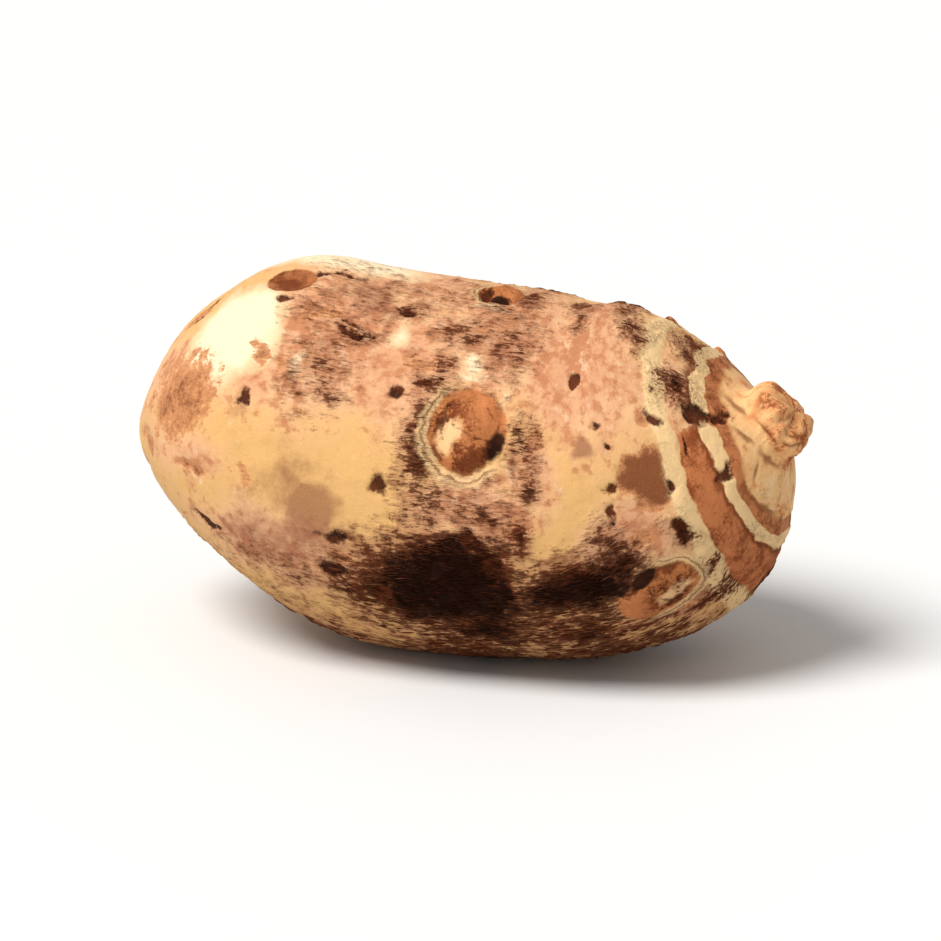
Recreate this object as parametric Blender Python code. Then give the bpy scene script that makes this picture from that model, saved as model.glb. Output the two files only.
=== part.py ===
"""A taro corm, one grown solid, lying on its side.

The corm is a turned profile whose axis, the spine, bends up towards the shoot end. Rings of points
stand square on the spine. Lumps, buds and leaf scars then push each ring's points in or out.
Sizes are in millimetres until the mesh is made. A bearing is an angle round the spine in degrees:
0 is up, 90 faces -Y, 180 is down. A station is a distance along the spine from the blunt end.
"""

import bmesh
import bpy
import numpy as np

MM = 0.001

# Driving dimensions.
RINGS = 54
SIDES = 56
REST_FLAT_DEPTH = 0.7  # how much of the belly the flat that it rests on takes away
GROUND_CUTTER = (160, 120, 20)

# The spine's slope in degrees at each station: level along the body, turned up at the shoot.
SPINE_SLOPE = [(0, -5), (20, -4), (45, -2), (64, 1), (76, 13), (86, 27), (96, 36), (112, 36)]
SPINE_STEP = 0.1
SLOPE_BLUR = 81  # steps over which the slope changes smoothly

# Station and radius: blunt end, barrel, shoulder, neck, then the stub of the shoot.
PROFILE = [
    (0.0, 0.0), (0.5, 4.6), (2.6, 10.4), (7.0, 16.4), (13.5, 21.2), (22.0, 24.8), (32.0, 26.6),
    (46.0, 27.0), (60.0, 26.6), (72.0, 25.2), (81.0, 22.4), (88.0, 17.9), (92.5, 12.8), (95.0, 8.6),
    (96.6, 5.6), (98.0, 4.2), (99.8, 4.1), (101.4, 3.7), (102.2, 2.2), (102.4, 0.0),
]

# Broad lumps and hollows: station, bearing, half length, half width, height.
LUMPS = [
    (11, 165, 19, 26, -6.2),  # slanted underside of the blunt end
    (21, 8, 13, 20, 3.1),  # high shoulder above it
    (90, 4, 12, 21, 3.8),  # hump behind the shoot
    (40, 0, 20, 20, 0.8),
    (62, 180, 24, 18, -1.0),
    (38, -75, 18, 16, -0.9),  # shallow dents on the far side
    (66, -120, 14, 14, 0.8),
]

# Side buds and the scar of a broken one: station, bearing, half length, half width, height.
BUDS = [
    (58.0, 60, 6.6, 7.2, 2.9),
    (55.0, 4, 4.6, 4.4, 1.5),
    (80.3, 124, 4.8, 4.8, 1.6),
    (24.3, 15, 5.4, 4.8, -0.9),
    (47.0, -64, 5.6, 5.4, 2.1),
    (72.0, -98, 4.8, 4.8, 1.6),
    (30.0, -128, 4.6, 4.6, 1.4),
]

# Leaf scars that ring the shoulder: station and height of each low step.
LEAF_SCARS = [(88.4, 0.45), (93.2, 0.4)]
LEAF_SCAR_WIDTH = 1.3
LEAF_SCAR_TILT = 1.9  # the rings sit further along on the side that faces LEAF_SCAR_BEARING
LEAF_SCAR_BEARING = 45
BUD_ROUNDING = 1.4  # 1 gives a dome with a sharp foot, 2 a bell
NECK_RADIUS = 12.0  # lumps fade where the profile is thinner than this
SMALLEST_GIRTH = 6.0  # keeps a lump's width finite near the poles

SKIN_COLOUR = (0.52, 0.30, 0.15, 1)
SKIN_ROUGHNESS = 0.7


def cubic(knots, values, at):
    """A natural cubic through values at knots, read at the positions in at."""
    gap = np.diff(knots)
    matrix = np.eye(len(knots))
    right = np.zeros(len(knots))
    for i in range(1, len(knots) - 1):
        matrix[i, i - 1 : i + 2] = gap[i - 1], 2 * (gap[i - 1] + gap[i]), gap[i]
        right[i] = 6 * ((values[i + 1] - values[i]) / gap[i] - (values[i] - values[i - 1]) / gap[i - 1])
    bend = np.linalg.solve(matrix, right)
    i = np.clip(np.searchsorted(knots, at) - 1, 0, len(knots) - 2)
    before, after = at - knots[i], knots[i + 1] - at
    curved = (bend[i] * after**3 + bend[i + 1] * before**3) / (6 * gap[i])
    low = (values[i] / gap[i] - bend[i] * gap[i] / 6) * after
    high = (values[i + 1] / gap[i] - bend[i + 1] * gap[i] / 6) * before
    return curved + low + high


def profile_points(count):
    """count stations and radii along one smooth curve through PROFILE."""
    points = np.array(PROFILE)
    chord = np.sqrt(np.linalg.norm(np.diff(points, axis=0), axis=1))
    knots = np.concatenate([[0], np.cumsum(chord)])
    at = np.linspace(0, knots[-1], count)
    return cubic(knots, points[:, 0], at), np.maximum(cubic(knots, points[:, 1], at), 0)


def spine_at(station):
    """x, z and slope in radians of the spine at each station."""
    known, slopes = np.array(SPINE_SLOPE, float).T
    steps = np.arange(known[0], known[-1] + SPINE_STEP, SPINE_STEP)
    blur = np.hanning(SLOPE_BLUR)
    padded = np.pad(np.interp(steps, known, slopes), SLOPE_BLUR // 2, mode="edge")
    slope = np.radians(np.convolve(padded, blur / blur.sum(), mode="valid"))
    x = np.concatenate([[0], np.cumsum(np.cos(slope[:-1]) * SPINE_STEP)])
    z = np.concatenate([[0], np.cumsum(np.sin(slope[:-1]) * SPINE_STEP)])
    return np.interp(station, steps, x), np.interp(station, steps, z), np.interp(station, steps, slope)


def turn_from(bearing, centre):
    """The angle in radians from a bearing in degrees to each bearing in radians, within half a turn."""
    return (bearing - np.radians(centre) + np.pi) % (2 * np.pi) - np.pi


def lumps(station, bearing, radius):
    """Broad swellings, as bells that fade out towards both poles."""
    fade = np.minimum(1, radius / NECK_RADIUS)
    total = np.zeros_like(radius)
    for centre, side, length, width, height in LUMPS:
        around = turn_from(bearing, side) * np.maximum(radius, SMALLEST_GIRTH)
        total += fade * height * np.exp(-(((station - centre) / length) ** 2) - (around / width) ** 2)
    return total


def buds(station, bearing, radius):
    """Low domes where the side buds sit, and the hollow where one broke off."""
    total = np.zeros_like(radius)
    for centre, side, length, width, height in BUDS:
        reach = np.hypot((station - centre) / length, turn_from(bearing, side) * radius / width)
        total += height * np.clip(1 - reach**2, 0, 1) ** BUD_ROUNDING
    return total


def leaf_scars(station, bearing):
    """Raised rings left by old leaves on the shoulder."""
    tilt = LEAF_SCAR_TILT * np.cos(turn_from(bearing, LEAF_SCAR_BEARING))
    return sum(
        height * np.exp(-(((station - centre - tilt) / LEAF_SCAR_WIDTH) ** 2))
        for centre, height in LEAF_SCARS
    )


def corm_points():
    """The corm's surface as a grid of points in metres: RINGS rings of SIDES points each."""
    station, radius = profile_points(RINGS)
    bearing = np.linspace(0, 2 * np.pi, SIDES, endpoint=False)
    station, bearing = np.meshgrid(station, bearing, indexing="ij")
    radius = np.repeat(radius[:, None], SIDES, axis=1)
    radius = radius + lumps(station, bearing, radius)
    radius = radius + buds(station, bearing, radius) + leaf_scars(station, bearing) * (radius > 0)
    x, z, slope = spine_at(station)
    rise, aside = radius * np.cos(bearing), -radius * np.sin(bearing)
    return settled(np.stack([x - rise * np.sin(slope), aside, z + rise * np.cos(slope)], axis=-1)) * MM


def settled(points):
    """The points moved so that their box stands centred on the origin, with the belly just below it."""
    low, high = points.min(axis=(0, 1)), points.max(axis=(0, 1))
    middle_x, middle_y, _ = (low + high) / 2
    return points - [middle_x, middle_y, low[2] + REST_FLAT_DEPTH]


def corm_mesh(grid):
    """A closed mesh: one point at each pole, and quads between the rings."""
    shape = bmesh.new()
    blunt_pole = shape.verts.new(grid[0].mean(axis=0))
    shoot_pole = shape.verts.new(grid[-1].mean(axis=0))
    rings = [[shape.verts.new(point) for point in ring] for ring in grid[1:-1]]
    for side in range(SIDES):
        after = (side + 1) % SIDES
        shape.faces.new((blunt_pole, rings[0][side], rings[0][after]))
        shape.faces.new((shoot_pole, rings[-1][after], rings[-1][side]))
        for near, far in zip(rings, rings[1:]):
            shape.faces.new((near[side], far[side], far[after], near[after]))
    bmesh.ops.recalc_face_normals(shape, faces=shape.faces)
    mesh = bpy.data.meshes.new("corm")
    shape.to_mesh(mesh)
    shape.free()
    mesh.shade_smooth()
    return mesh


def skin_material():
    """Tan, matt corm skin."""
    material = bpy.data.materials.new("corm_skin")
    material.use_nodes = True
    shader = material.node_tree.nodes["Principled BSDF"]
    shader.inputs["Base Color"].default_value = SKIN_COLOUR
    shader.inputs["Roughness"].default_value = SKIN_ROUGHNESS
    shader.inputs["Metallic"].default_value = 0.0
    return material


def add_rest_flat(corm):
    """Trims the belly at the ground, so that the corm lies still on a small flat."""
    long, wide, deep = np.array(GROUND_CUTTER) * MM
    bpy.ops.mesh.primitive_cube_add(size=1, location=(0, 0, -deep / 2))
    cutter = bpy.context.object
    cutter.name = "ground_cutter"
    cutter.scale = (long, wide, deep)
    cutter.display_type = "WIRE"
    cutter.hide_render = True
    cut = corm.modifiers.new("rest_flat", "BOOLEAN")
    cut.operation = "DIFFERENCE"
    cut.object = cutter


def main():
    for old in list(bpy.data.objects):
        bpy.data.objects.remove(old)
    corm = bpy.data.objects.new("corm", corm_mesh(corm_points()))
    corm.data.materials.append(skin_material())
    bpy.context.scene.collection.objects.link(corm)
    add_rest_flat(corm)


main()
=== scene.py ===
# %% [markdown]
# # A taro corm on a pale table
#
# A taro corm is the swollen underground stem of the plant. It grew as one piece, so one mesh stands for
# all of it: cream skin, fibrous brown bark in bands, side buds, and rings left by old leaves.
# The packed model gives its true size and place, and everything below is worked out from that box.

# %% Load the frame
import math

import bmesh
import bpy
import numpy as np
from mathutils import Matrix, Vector, noise


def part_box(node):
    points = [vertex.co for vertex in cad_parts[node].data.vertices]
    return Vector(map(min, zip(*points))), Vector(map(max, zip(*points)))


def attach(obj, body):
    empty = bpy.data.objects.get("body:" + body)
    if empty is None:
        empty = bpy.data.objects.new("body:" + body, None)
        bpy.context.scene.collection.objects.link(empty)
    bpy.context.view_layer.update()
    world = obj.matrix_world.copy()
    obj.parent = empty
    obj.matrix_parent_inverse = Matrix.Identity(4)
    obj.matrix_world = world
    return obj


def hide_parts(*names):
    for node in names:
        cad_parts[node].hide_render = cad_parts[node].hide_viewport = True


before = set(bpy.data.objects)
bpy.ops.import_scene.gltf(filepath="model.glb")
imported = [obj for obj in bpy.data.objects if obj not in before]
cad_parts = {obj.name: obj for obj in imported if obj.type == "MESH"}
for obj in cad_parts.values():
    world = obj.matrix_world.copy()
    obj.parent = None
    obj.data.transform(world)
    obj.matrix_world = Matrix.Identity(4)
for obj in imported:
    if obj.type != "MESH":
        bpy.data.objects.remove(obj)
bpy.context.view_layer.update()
low_corner, high_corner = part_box("corm")
MM = 0.001
print("corm, mm:", [round(side / MM, 1) for side in high_corner - low_corner])

# %% [markdown]
# ## Camera, floor and light
#
# A long lens far away keeps the corm's proportions, as a product picture does. The floor is one large
# pale plane, so that it fills the view with no horizon. A sun with a wide disc gives the same soft
# light everywhere on it, which an area lamp near the corm would not, and a pale sky fills the shadows.

# %% Camera
VIEW_AZIMUTH = math.radians(18)
VIEW_ELEVATION = math.radians(17)
LENS = 280
SENSOR = 36
CORM_SHARE = 0.74  # how much of the picture's width the corm takes up
AIM_DROP = 2.0 * MM  # the aim is a little below the middle, to leave room for the shadow


def looking_from(azimuth, elevation):
    """The direction from the object towards a viewer at these angles."""
    level = math.cos(elevation)
    return Vector((math.sin(azimuth) * level, -math.cos(azimuth) * level, math.sin(elevation)))


length = (high_corner - low_corner).x
aim = (low_corner + high_corner) / 2 - Vector((0, 0, AIM_DROP))
towards_viewer = looking_from(VIEW_AZIMUTH, VIEW_ELEVATION)
distance = length / CORM_SHARE * LENS / SENSOR
camera = bpy.data.objects.new("camera", bpy.data.cameras.new("camera"))
camera.data.lens = LENS
camera.data.sensor_width = SENSOR
camera.location = aim + towards_viewer * distance
camera.rotation_euler = (-towards_viewer).to_track_quat("-Z", "Y").to_euler()
bpy.context.scene.collection.objects.link(camera)
bpy.context.scene.camera = camera
print("camera distance, mm:", round(distance / MM))

# %% Floor, sky and sun
FLOOR_HALF = 6.0
FLOOR_COLOUR = (0.75, 0.748, 0.742, 1)
SKY_STRENGTH = 0.46
SUN_STRENGTH = 3.7
SUN_DISC = math.radians(30)
SUN_FROM = looking_from(math.radians(-38), math.radians(57))


def plain_material(name, colour, roughness):
    """A material with one Principled shader."""
    material = bpy.data.materials.new(name)
    material.use_nodes = True
    shader = material.node_tree.nodes["Principled BSDF"]
    shader.inputs["Base Color"].default_value = colour
    shader.inputs["Roughness"].default_value = roughness
    return material


floor_mesh = bpy.data.meshes.new("floor")
floor_corners = [(x * FLOOR_HALF, y * FLOOR_HALF, 0) for x, y in ((-1, -1), (1, -1), (1, 1), (-1, 1))]
floor_mesh.from_pydata(floor_corners, [], [(0, 1, 2, 3)])
floor_mesh.materials.append(plain_material("table_white", FLOOR_COLOUR, 0.6))
floor = bpy.data.objects.new("floor", floor_mesh)
bpy.context.scene.collection.objects.link(floor)

world = bpy.data.worlds.new("studio")
world.use_nodes = True
world.node_tree.nodes["Background"].inputs["Color"].default_value = (1.0, 0.995, 0.985, 1)
world.node_tree.nodes["Background"].inputs["Strength"].default_value = SKY_STRENGTH
bpy.context.scene.world = world

sun = bpy.data.objects.new("sun", bpy.data.lights.new("sun", "SUN"))
sun.data.energy = SUN_STRENGTH
sun.data.angle = SUN_DISC
sun.data.color = (1.0, 0.985, 0.965)
sun.rotation_euler = (-SUN_FROM).to_track_quat("-Z", "Y").to_euler()
bpy.context.scene.collection.objects.link(sun)
bpy.context.scene.view_settings.view_transform = "Standard"
print("sky", SKY_STRENGTH, "sun", SUN_STRENGTH)

# %% [markdown]
# ## The corm's body
#
# The body is a turned profile on a spine that bends up at the shoot end. Sculpting could give it too,
# but a rule is easier to adjust. Two numbers place any point of the skin: its **station**, in
# millimetres along the spine from the blunt end, and its **bearing**, in degrees round the spine (0 is
# up, 90 faces the viewer, 180 is down). Marks, buds and fibres are all placed by those two.

# %% Profile and spine
ROWS = 330
SIDES = 300
SPINE_SLOPE = [(0, -5), (20, -4), (45, -2), (64, 1), (76, 13), (86, 27), (96, 36), (112, 36)]
SPINE_STEP = 0.1
SLOPE_BLUR = 81
PROFILE = [
    (0.0, 0.0), (0.5, 4.6), (2.6, 10.4), (7.0, 16.4), (13.5, 21.2), (22.0, 24.8), (32.0, 26.6),
    (46.0, 27.0), (60.0, 26.6), (72.0, 25.2), (81.0, 22.4), (88.0, 17.9), (92.5, 12.9), (95.0, 9.0),
    (96.6, 6.0), (98.0, 4.8), (99.4, 5.0), (100.9, 4.7), (101.9, 3.2), (102.2, 0.0),
]
FINE_STEPS = 4000
CROWN_START = 90.0
CROWN_DENSITY = 2.4  # rows are this much closer together on the crown, where the detail is finest


def cubic(knots, values, at):
    """A natural cubic through values at knots, read at the positions in at."""
    gap = np.diff(knots)
    matrix = np.eye(len(knots))
    right = np.zeros(len(knots))
    for i in range(1, len(knots) - 1):
        matrix[i, i - 1 : i + 2] = gap[i - 1], 2 * (gap[i - 1] + gap[i]), gap[i]
        right[i] = 6 * ((values[i + 1] - values[i]) / gap[i] - (values[i] - values[i - 1]) / gap[i - 1])
    bend = np.linalg.solve(matrix, right)
    i = np.clip(np.searchsorted(knots, at) - 1, 0, len(knots) - 2)
    before, after = at - knots[i], knots[i + 1] - at
    curved = (bend[i] * after**3 + bend[i + 1] * before**3) / (6 * gap[i])
    low = (values[i] / gap[i] - bend[i] * gap[i] / 6) * after
    high = (values[i + 1] / gap[i] - bend[i + 1] * gap[i] / 6) * before
    return curved + low + high


def profile_rows(count):
    """count stations and radii along one smooth curve through PROFILE, evenly spaced but for the crown."""
    points = np.array(PROFILE)
    chord = np.sqrt(np.linalg.norm(np.diff(points, axis=0), axis=1))
    knots = np.concatenate([[0], np.cumsum(chord)])
    at = np.linspace(0, knots[-1], FINE_STEPS)
    stations, radii = cubic(knots, points[:, 0], at), np.maximum(cubic(knots, points[:, 1], at), 0)
    closeness = np.where(stations[1:] > CROWN_START, CROWN_DENSITY, 1)
    steps = np.hypot(np.diff(stations), np.diff(radii)) * closeness
    travelled = np.concatenate([[0], np.cumsum(steps)])
    rows = np.linspace(0, travelled[-1], count)
    return np.interp(rows, travelled, stations), np.interp(rows, travelled, radii)


def spine_at(stations):
    """x, z and slope in radians of the spine at each station."""
    known, slopes = np.array(SPINE_SLOPE, float).T
    steps = np.arange(known[0], known[-1] + SPINE_STEP, SPINE_STEP)
    blur = np.hanning(SLOPE_BLUR)
    padded = np.pad(np.interp(steps, known, slopes), SLOPE_BLUR // 2, mode="edge")
    slope = np.radians(np.convolve(padded, blur / blur.sum(), mode="valid"))
    x = np.concatenate([[0], np.cumsum(np.cos(slope[:-1]) * SPINE_STEP)])
    z = np.concatenate([[0], np.cumsum(np.sin(slope[:-1]) * SPINE_STEP)])
    return np.interp(stations, steps, x), np.interp(stations, steps, z), np.interp(stations, steps, slope)


row_station, row_radius = profile_rows(ROWS)
station, bearing = np.meshgrid(row_station, np.linspace(0, 2 * np.pi, SIDES, endpoint=False), indexing="ij")
turned_radius = np.repeat(row_radius[:, None], SIDES, axis=1)
print("rows", ROWS, "sides", SIDES, "length along the spine, mm", row_station[-1].round(1))

# %% [markdown]
# ## Lumps
#
# A turned shape is too regular for something grown, so broad bells push it in and out. They fade towards
# both poles, where all the sides meet.

# %% Lumps
LUMPS = [
    (11, 165, 19, 26, -6.2), (21, 8, 13, 20, 3.1), (90, 4, 12, 21, 3.8), (40, 0, 20, 20, 0.8),
    (62, 180, 24, 18, -1.0), (38, -75, 18, 16, -0.9), (66, -120, 14, 14, 0.8),
]  # station, bearing, half length, half width, height
NECK_RADIUS = 12.0
SMALLEST_GIRTH = 6.0


def turn_between(angles, side):
    """The angle in radians from a bearing in degrees to each of the angles, within half a turn."""
    return (angles - np.radians(side) + np.pi) % (2 * np.pi) - np.pi


def lumps():
    """Broad swellings, as bells that fade out towards both poles."""
    fade = np.minimum(1, turned_radius / NECK_RADIUS)
    total = np.zeros_like(turned_radius)
    for centre, side, long, wide, height in LUMPS:
        around = turn_between(bearing, side) * np.maximum(turned_radius, SMALLEST_GIRTH)
        along = (station - centre) / long
        total += fade * height * np.exp(-(along**2) - (around / wide) ** 2)
    return total


body_radius = turned_radius + lumps()
print("lumps push the body by up to", np.abs(body_radius - turned_radius).max().round(1), "mm")

# %% [markdown]
# ## Wandering outlines
#
# Marks on a grown thing are never neat ovals. Every point's station and bearing is shifted by smooth
# noise of three sizes before any mark is drawn, so each outline wanders. The noise reads the corm as if
# it were straightened, so that it doesn't stretch at the bend and has no seam.

# %% Warp the two coordinates
WANDER = [(7.0, 1.5), (2.6, 0.9), (1.1, 0.42)]  # size of the noise and the shift, in millimetres


NOISE_PLACES = [(0.0, 0.0, 0.0), (31.7, 12.3, 57.1), (73.9, 45.6, 8.2)]  # where x, y and z read the noise


def wobble(where, size):
    """A smooth shift for every point, which changes over about size millimetres. It has no random seed."""
    shifts = []
    for offset in NOISE_PLACES:
        rows = (where / size + offset).reshape(-1, 3).tolist()
        shifts.append([noise.noise(row) for row in rows])
    return np.array(shifts).T.reshape(where.shape)


def bell(values, centre, width):
    """1 at the centre, falling smoothly away on both sides."""
    return np.exp(-(((values - centre) / width) ** 2))


def risen(values, start, end):
    """0 before start, 1 after end, smooth between."""
    share = np.clip((values - start) / (end - start), 0, 1)
    return share * share * (3 - 2 * share)


place = np.stack([station, body_radius * np.sin(bearing), body_radius * np.cos(bearing)], axis=-1)
warped = place + sum(shift * wobble(place, size) for size, shift in WANDER)
warped_station = warped[..., 0]
warped_bearing = np.arctan2(warped[..., 1], warped[..., 2])
print("outlines wander by up to", np.abs(warped - place).max().round(2), "mm")

# %% [markdown]
# ## Side buds
#
# A side bud is a folded-up shoot. It is a low dome under two rounded scales that lean over each other,
# and the crease between them is where one stops and the other begins. Taking the higher of two domes
# gives that crease by itself. Shallow rings on them are the edges of smaller scales, and a groove and a
# faint rim run round the foot.

# %% Side buds
BUDS = [
    (57.6, 60, 5.8, 6.2, 1.9, -75), (55.2, 4, 3.7, 3.2, 1.4, -20), (80.4, 124, 4.4, 4.2, 0.8, 160),
    (47, -64, 5.0, 4.8, 1.9, 60), (72, -98, 4.4, 4.2, 1.5, -150), (30, -128, 4.2, 4.0, 1.4, 90),
    (88.2, -27, 1.5, 1.4, 0.9, 0), (92.6, -44, 1.3, 1.4, 1.0, 40),
]  # station, bearing, half length, half width, height, lean in degrees (0 to the shoot, 90 down)
SCALE_SHIFT = 0.34
SCALE_REACH = 0.66
BUD_RINGS = 3.1
BUD_RING_WAVE = 0.7
BUD_RING_DEPTH = 0.07  # this and the next four are shares of the bud's height
BUD_DOME = 0.42
BUD_SCALES = 0.58
BUD_GROOVE = 0.14
BUD_RIM = 0.07
EYE_HOLLOW = (24.3, 15, 4.0, 3.1, -0.9)


def local_to(centre, side, long, wide, wander=0.35):
    """How far forward and how far round each point is from a centre, in half lengths and half widths."""
    along = station + wander * (warped_station - station)
    angles = bearing + wander * turn_between(warped_bearing - bearing, 0)
    return (along - centre) / long, turn_between(angles, side) * body_radius / wide


bud_height = np.zeros_like(station)
bud_fields = {name: np.zeros_like(station) for name in ("bud_lean", "bud_across", "bud_crease")}
bud_fields["bud"] = np.full_like(station, 9.0)
for centre, side, long, wide, height, lean in BUDS:
    forward, round_by = local_to(centre, side, long, wide)
    reach = np.hypot(forward, round_by)
    lean_x, lean_y = math.cos(math.radians(lean)), math.sin(math.radians(lean))
    over = np.hypot(forward - SCALE_SHIFT * lean_x, round_by - SCALE_SHIFT * lean_y) / SCALE_REACH
    under = np.hypot(forward + SCALE_SHIFT * lean_x, round_by + SCALE_SHIFT * lean_y) / SCALE_REACH
    over_dome, under_dome = np.clip(1 - over**2, 0, 1) ** 0.8, 0.8 * np.clip(1 - under**2, 0, 1) ** 0.8
    dome = np.clip(1 - reach**2, 0, 1)
    wavy = BUD_RING_WAVE * np.sin(3 * np.arctan2(round_by, forward))
    ringed = 0.5 + 0.5 * np.cos(2 * np.pi * BUD_RINGS * reach + wavy)
    groove = bell(reach, 0.99, 0.09)
    rim = bell(reach, 1.2, 0.12)
    scales = BUD_DOME * dome + BUD_SCALES * np.maximum(over_dome, under_dome)
    bud_height += height * (scales - BUD_GROOVE * groove + BUD_RIM * rim)
    bud_height -= height * BUD_RING_DEPTH * ringed**4 * risen(reach, 1.0, 0.9)
    crease = bell(over_dome - under_dome, 0.0, 0.16) * risen(reach, 0.95, 0.75)
    crease = crease + 0.8 * bell(reach, 0.97, 0.06)
    crease = np.maximum(crease, 0.85 * ringed**5 * risen(reach, 0.2, 0.4))
    inside = reach < bud_fields["bud"]
    here = {
        "bud": reach, "bud_crease": crease, "bud_lean": forward * lean_x + round_by * lean_y,
        "bud_across": round_by * lean_x - forward * lean_y,
    }
    for name, values in here.items():
        bud_fields[name] = np.where(inside, values, bud_fields[name])
forward, round_by = local_to(*EYE_HOLLOW[:4], wander=0.2)
eye_reach = np.hypot(forward, round_by)
eye_height = EYE_HOLLOW[4] * risen(eye_reach, 1.12, 0.55) + 0.12 * bell(eye_reach, 1.2, 0.14)
print("buds rise by up to", bud_height.max().round(1), "mm")

# %% [markdown]
# ## Leaf-scar rings
#
# Old leaves left rings on the shoulder: pale bands with brown between them, crossing the spine at a
# slant. One number, the level, says where a point lies: 0 and 1 at the edges of the first ring, 2 and
# 3 at those of the second, and 4 where the crown starts. Both the relief and the colours use it.

# %% Rings
RING_SLANT_BEARING = 30
RING_EDGES = [(85.75, 3.2, 0), (85.75, 3.2, 2.05), (91.95, 1.93, 0), (91.95, 1.93, 1.05), (94.0, 1.75, 0)]
RING_WANDER = 0.35
RING_LIFT = 0.30
RING_CREASE = 0.22


def ring_levels():
    """0 to 4 at the five ring edges, from the body to the crown, and evenly between them."""
    slant = np.cos(turn_between(bearing, RING_SLANT_BEARING))
    wandering = station + RING_WANDER * (warped_station - station)
    edges = [base + sway * slant + width for base, sway, width in RING_EDGES]
    levels = (wandering - edges[0]) / 10
    for count, (near, far) in enumerate(zip(edges, edges[1:])):
        levels = np.where(wandering > near, count + (wandering - near) / (far - near), levels)
    return np.where(wandering > edges[-1], len(edges) - 1 + (wandering - edges[-1]) / 2, levels)


level = ring_levels()
ring_height = RING_LIFT * (bell(level, 0.5, 0.5) + bell(level, 2.5, 0.5))
ring_height -= RING_CREASE * (bell(level, 1.05, 0.12) + bell(level, 1.9, 0.12) + bell(level, 4.0, 0.2))
print("ring 1 spans stations", row_station[(level[:, 25] > 0) & (level[:, 25] < 1)].round(1)[[0, -1]])

# %% [markdown]
# ## Folds and the snapped shoot
#
# The shoot was snapped off, which leaves a short knob of overlapping leaf bases with a torn end. Each
# fold is a line from one station and bearing to another, pressed in with a soft groove. Waves round
# the end of the knob shift its rim up and down, as a tear does.

# %% Folds
FOLDS = [
    (95.6, 62, 97, 98, 0.42, 0.4), (97, 98, 97, 150, 0.42, 0.42), (98.4, 60, 99.6, 112, 0.36, 0.42),
    (99.6, 112, 101.9, 160, 0.36, 0.42), (94.2, 112, 93.3, 164, 0.4, 0.3),
    (96.2, 110, 95, 117, 0.42, 0.22), (97.6, 18, 101.6, 8, 0.42, 0.35), (96, 20, 97.6, 60, 0.42, 0.34),
    (95.8, -60, 98.2, -20, 0.42, 0.36), (96, -150, 99, -70, 0.42, 0.4), (99.4, -70, 101.8, -20, 0.36, 0.4),
    (95.4, 175, 98.5, 215, 0.42, 0.38), (94, -100, 95.2, -40, 0.36, 0.26),
    (101.7, 95, 102.1, 200, 0.4, 0.45), (101.5, -60, 102.1, 40, 0.4, 0.4),
    (62.6, 91, 65.4, 121, 0.26, 0.3),
]  # station and bearing of both ends, half width, depth
STUB_START = 96.8
STUB_GROOVES = 13
STUB_GROOVE_DEPTH = 0.09
STUB_TWIST = 0.9  # radians of turn for each millimetre along the stub
STUB_LOBES = 0.28
RIM_START = 100.0
RIM_WAVES = [(2, 0.4, 0.42), (5, 1.9, 0.34), (9, 4.0, 0.20), (14, 2.2, 0.12)]  # count, phase, height


def fold_field(lines):
    """How strongly each point lies in a fold, from 0 to 1, and how deep the folds are there."""
    strongest, deepest = np.zeros_like(station), np.zeros_like(station)
    along = station + 0.5 * (warped_station - station)
    for start, start_side, end, end_side, wide, depth in lines:
        girth = np.interp((start + end) / 2, row_station, row_radius)
        run = np.array([end - start, math.radians(end_side - start_side) * girth])
        offset = np.stack([along - start, turn_between(bearing, start_side) * girth])
        share = np.clip((offset[0] * run[0] + offset[1] * run[1]) / (run @ run), 0, 1)
        away = np.hypot(offset[0] - share * run[0], offset[1] - share * run[1])
        line = np.exp(-((away / wide) ** 2)) * (0.35 + 0.65 * np.sin(np.pi * share))
        strongest = np.maximum(strongest, line)
        deepest = np.maximum(deepest, line * depth)
    return strongest, deepest


fold, fold_depth = fold_field(FOLDS)
on_stub = risen(station, STUB_START, STUB_START + 1.4)
on_rim = risen(station, RIM_START, RIM_START + 1.6)
grooves = STUB_GROOVE_DEPTH * np.cos(STUB_GROOVES * bearing + STUB_TWIST * station)
knob = on_stub * (grooves + STUB_LOBES * np.cos(3 * bearing - 0.7))
tear = sum(height * np.sin(count * bearing + phase) for count, phase, height in RIM_WAVES)
closing = np.minimum(1, turned_radius / 2.5)
shifted_station = station + on_rim * tear * closing
print("the rim is torn by up to", np.abs(tear).max().round(2), "mm")

# %% Put the surface in place
REST_FLAT_DEPTH = 0.7  # how much of the belly the flat that it rests on takes away


def surface_points(stations, radii):
    """Points in millimetres at each station, radius and bearing."""
    x, z, slope = spine_at(stations)
    rise = radii * np.cos(bearing)
    return np.stack([x - rise * np.sin(slope), -radii * np.sin(bearing), z + rise * np.cos(slope)], axis=-1)


radius = body_radius + (bud_height + eye_height + ring_height + knob - fold_depth) * closing
points = surface_points(shifted_station, radius)
plain = surface_points(station, body_radius)
plain_low, plain_high = plain.min(axis=(0, 1)), plain.max(axis=(0, 1))
cad_middle = np.array((low_corner + high_corner) / 2) / MM
shift = cad_middle - (plain_low + plain_high) / 2
shift[2] = low_corner.z / MM - REST_FLAT_DEPTH - plain_low[2]
points = points + shift
print("box, mm:", points.min(axis=(0, 1)).round(1), points.max(axis=(0, 1)).round(1))

# %% [markdown]
# ## Where each finish lies
#
# The skin has pale areas, pink areas, flat brown scabs, bark and dark spots. Each kind is a short list
# of ovals. A field is at full strength in the middle of an oval, half of it at the edge and 0 well
# outside, and it is stored on the mesh. Noise tears the edges later, in the material and in the relief
# alike, so that colour and shape tear along the same line.

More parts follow.
